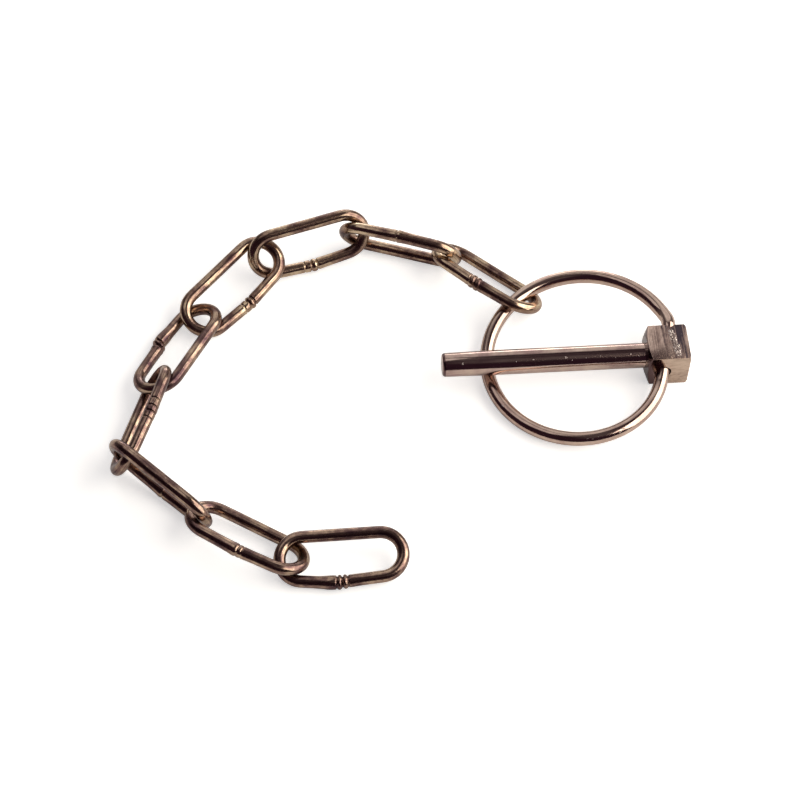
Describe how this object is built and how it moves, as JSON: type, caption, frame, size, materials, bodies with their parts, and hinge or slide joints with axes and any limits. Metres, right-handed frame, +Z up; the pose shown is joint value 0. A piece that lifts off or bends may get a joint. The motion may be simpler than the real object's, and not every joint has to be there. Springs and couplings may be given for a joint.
{
  "type": "lynch pin with chain",
  "caption": "Lynch pin with a square head, a wire ring that snaps under the round shank, and a long-link chain hooked on the ring.",
  "frame": {"origin": "on the shank's axis, in the plane where the shank meets the head", "axes": "+X from the tip to the head, +Z up from the surface that it lies on"},
  "size_m": [0.1455, 0.1063, 0.0158],
  "materials": {
    "pin_steel": "bright plated steel, brushed head, small scratches",
    "ring_steel": "bright plated spring wire",
    "chain_steel": "dull plated steel, butt welds left as made"
  },
  "bodies": {
    "pin": {"pin": "pin_steel"},
    "ring": {"ring": "ring_steel"},
    "link_1": {"link_1": "chain_steel"},
    "link_2": {"link_2": "chain_steel"},
    "link_3": {"link_3": "chain_steel"},
    "link_4": {"link_4": "chain_steel"},
    "link_5": {"link_5": "chain_steel"},
    "link_6": {"link_6": "chain_steel"},
    "link_7": {"link_7": "chain_steel"},
    "link_8": {"link_8": "chain_steel"},
    "link_9": {"link_9": "chain_steel"}
  },
  "joints": [
    {"name": "ring_hinge", "type": "hinge", "parent": "pin", "child": "ring", "pos_m": [0.00505, 0, 0.0012], "axis": [-0.2413, -0.9149, -0.3236], "range_deg": [0, 344]},
    {"name": "hook_1", "type": "hinge", "parent": "ring", "child": "link_1", "pos_m": [-0.02997, 0.0219, -0.00108], "axis": [0.5645, 0.401, 0.7214], "range_deg": [-70, 70]},
    {"name": "hook_2", "type": "hinge", "parent": "link_1", "child": "link_2", "pos_m": [-0.0487, 0.03701, 0.00064], "axis": [0.2952, 0.9412, 0.1643], "range_deg": [-24, 70]},
    {"name": "hook_3", "type": "hinge", "parent": "link_2", "child": "link_3", "pos_m": [-0.07113, 0.04485, 0.00204], "axis": [0.0042, -0.8533, 0.5214], "range_deg": [-52, 70]},
    {"name": "hook_4", "type": "hinge", "parent": "link_3", "child": "link_4", "pos_m": [-0.0956, 0.03723, -0.00038], "axis": [0.1656, -0.3115, 0.9357], "range_deg": [-70, 20]},
    {"name": "hook_5", "type": "hinge", "parent": "link_4", "child": "link_5", "pos_m": [-0.11155, 0.02141, -0.00312], "axis": [-0.4551, 0.376, 0.8071], "range_deg": [-70, 36]},
    {"name": "hook_6", "type": "hinge", "parent": "link_5", "child": "link_6", "pos_m": [-0.12321, 0.00007, 0.0016], "axis": [-0.8704, 0.2294, 0.4357], "range_deg": [-16, 70]},
    {"name": "hook_7", "type": "hinge", "parent": "link_6", "child": "link_7", "pos_m": [-0.12912, -0.02247, 0.00319], "axis": [0.8027, 0.4219, 0.4214], "range_deg": [-70, 70]},
    {"name": "hook_8", "type": "hinge", "parent": "link_7", "child": "link_8", "pos_m": [-0.11202, -0.03952, 0.00048], "axis": [0.3874, 0.1644, 0.9071], "range_deg": [-24, 70]},
    {"name": "hook_9", "type": "hinge", "parent": "link_8", "child": "link_9", "pos_m": [-0.09035, -0.05022, -0.00318], "axis": [-0.1869, -0.4097, 0.8929], "range_deg": [-70, 12]}
  ]
}
